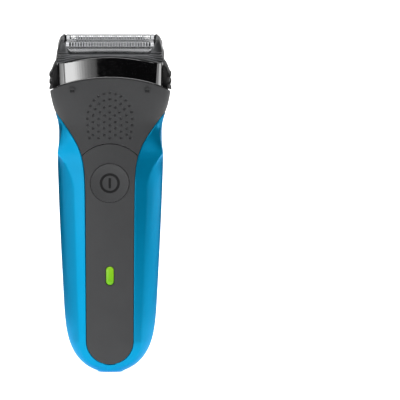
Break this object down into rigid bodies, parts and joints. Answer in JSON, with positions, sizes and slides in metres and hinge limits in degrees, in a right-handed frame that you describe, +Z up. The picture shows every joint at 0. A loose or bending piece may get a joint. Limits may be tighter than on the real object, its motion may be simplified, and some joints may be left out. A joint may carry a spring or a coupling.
{
  "type": "electric foil shaver",
  "caption": "Hand-held foil shaver with a blue shell, dark grip and control panels, a power button, a charge light and a lift-off floating foil head.",
  "frame": {"origin": "on the ground plane under the middle of the shaver's box, with the shaver standing on its charging end", "axes": "+Z up along the handle to the foil head, the front with the power button faces -Y, +X to the right seen from the front"},
  "size_m": [0.0584, 0.0379, 0.1617],
  "materials": {
    "blue_plastic": "smooth satin blue plastic",
    "soft_grip": "matt dark grey soft-touch",
    "control_grey": "fine matt dark grey",
    "gloss_black": "high-gloss black",
    "cassette_grey": "satin dark grey",
    "foil_steel": "thin bright perforated steel",
    "blade_steel": "ground steel",
    "spring_steel": "bright wire",
    "inner_plastic": "plain black moulding",
    "board_green": "solder-masked board",
    "cell_wrap": "shrink wrap",
    "brass": "enamelled wire",
    "seal_rubber": "black elastomer",
    "light_green": "clear green light pipe"
  },
  "bodies": {
    "body": {"blue_shell": "blue_plastic", "front_grip_panel": "soft_grip", "front_control_panel": "control_grey", "rear_grip_panel": "soft_grip", "button_seal_ring": "seal_rubber", "tact_switch": "inner_plastic", "light_lens": "light_green", "light_diode": "light_green", "inner_chassis": "inner_plastic", "circuit_board": "board_green", "battery_cell_left": "cell_wrap", "battery_cell_right": "cell_wrap", "smoothing_capacitor": "inner_plastic", "charging_coil": "brass", "board_screw_upper": "spring_steel", "board_screw_lower": "spring_steel", "charging_socket": "inner_plastic", "contact_pin_left": "spring_steel", "contact_pin_right": "spring_steel", "socket_seal": "seal_rubber", "head_frame": "gloss_black", "release_spring_left": "spring_steel", "release_spring_right": "spring_steel", "seal_boot_front": "seal_rubber", "seal_boot_rear": "seal_rubber", "motor_can": "blade_steel", "motor_mount": "inner_plastic", "motor_screw_left": "spring_steel", "motor_screw_right": "spring_steel", "mount_screw_1": "spring_steel", "mount_screw_2": "spring_steel", "mount_screw_3": "spring_steel", "mount_screw_4": "spring_steel"},
    "power_button": {"power_button": "control_grey"},
    "release_left": {"release_button_left": "inner_plastic", "release_latch_left": "inner_plastic"},
    "release_right": {"release_button_right": "inner_plastic", "release_latch_right": "inner_plastic"},
    "cassette": {"cassette_frame": "cassette_grey"},
    "front_foil": {"front_foil": "foil_steel", "front_foil_carrier": "inner_plastic"},
    "rear_foil": {"rear_foil": "foil_steel", "rear_foil_carrier": "inner_plastic"},
    "middle_trimmer": {"middle_trimmer_comb": "foil_steel"},
    "front_cutter": {"front_cutter_block": "blade_steel"},
    "rear_cutter": {"rear_cutter_block": "blade_steel"},
    "trimmer_blade": {"middle_trimmer_blade": "blade_steel"},
    "drive_bridge": {"drive_bridge": "inner_plastic", "drive_pin_front": "spring_steel", "drive_pin_rear": "spring_steel", "cutter_spring_front": "spring_steel", "cutter_spring_rear": "spring_steel"},
    "motor_rotor": {"motor_shaft": "spring_steel", "crank_hub": "inner_plastic"}
  },
  "joints": [
    {"name": "power_button_press", "type": "slide", "parent": "body", "child": "power_button", "axis": [0, 1, 0], "range_m": [0, 0.0008], "stiffness_N_per_m": 900, "springref_m": -0.0004},
    {"name": "release_left_press", "type": "slide", "parent": "body", "child": "release_left", "axis": [1, 0, 0], "range_m": [0, 0.0012], "stiffness_N_per_m": 700, "springref_m": -0.0006, "deforming": ["release_spring_left"]},
    {"name": "release_right_press", "type": "slide", "parent": "body", "child": "release_right", "axis": [-1, 0, 0], "range_m": [0, 0.0012], "stiffness_N_per_m": 700, "springref_m": -0.0006, "deforming": ["release_spring_right"]},
    {"name": "cassette_lift", "type": "slide", "parent": "body", "child": "cassette", "axis": [0, -0.3256, 0.9455], "range_m": [0, 0.03]},
    {"name": "front_foil_float", "type": "slide", "parent": "cassette", "child": "front_foil", "axis": [0, 0.3256, -0.9455], "range_m": [0, 0.0015], "stiffness_N_per_m": 600, "springref_m": -0.001, "deforming": ["cutter_spring_front"]},
    {"name": "rear_foil_float", "type": "slide", "parent": "cassette", "child": "rear_foil", "axis": [0, 0.3256, -0.9455], "range_m": [0, 0.0015], "stiffness_N_per_m": 600, "springref_m": -0.001, "deforming": ["cutter_spring_rear"]},
    {"name": "middle_trimmer_float", "type": "slide", "parent": "cassette", "child": "middle_trimmer", "axis": [0, 0.3256, -0.9455], "range_m": [0, 0.0012], "stiffness_N_per_m": 500, "springref_m": -0.001},
    {"name": "bridge_oscillation", "type": "slide", "parent": "body", "child": "drive_bridge", "axis": [1, 0, 0], "range_m": [-0.0012, 0.0012]},
    {"name": "front_cutter_slide", "type": "slide", "parent": "front_foil", "child": "front_cutter", "axis": [1, 0, 0], "range_m": [-0.0012, 0.0012]},
    {"name": "rear_cutter_slide", "type": "slide", "parent": "rear_foil", "child": "rear_cutter", "axis": [1, 0, 0], "range_m": [-0.0012, 0.0012]},
    {"name": "trimmer_blade_slide", "type": "slide", "parent": "middle_trimmer", "child": "trimmer_blade", "axis": [1, 0, 0], "range_m": [-0.0012, 0.0012]},
    {"name": "motor_spin", "type": "hinge", "parent": "body", "child": "motor_rotor", "pos_m": [0, -0.00352, 0.1446], "axis": [0, -0.3256, 0.9455], "continuous": true}
  ],
  "couplings": [
    {"joint": "front_cutter_slide", "follows": "bridge_oscillation", "ratio": 1},
    {"joint": "rear_cutter_slide", "follows": "bridge_oscillation", "ratio": 1},
    {"joint": "trimmer_blade_slide", "follows": "bridge_oscillation", "ratio": 1}
  ]
}
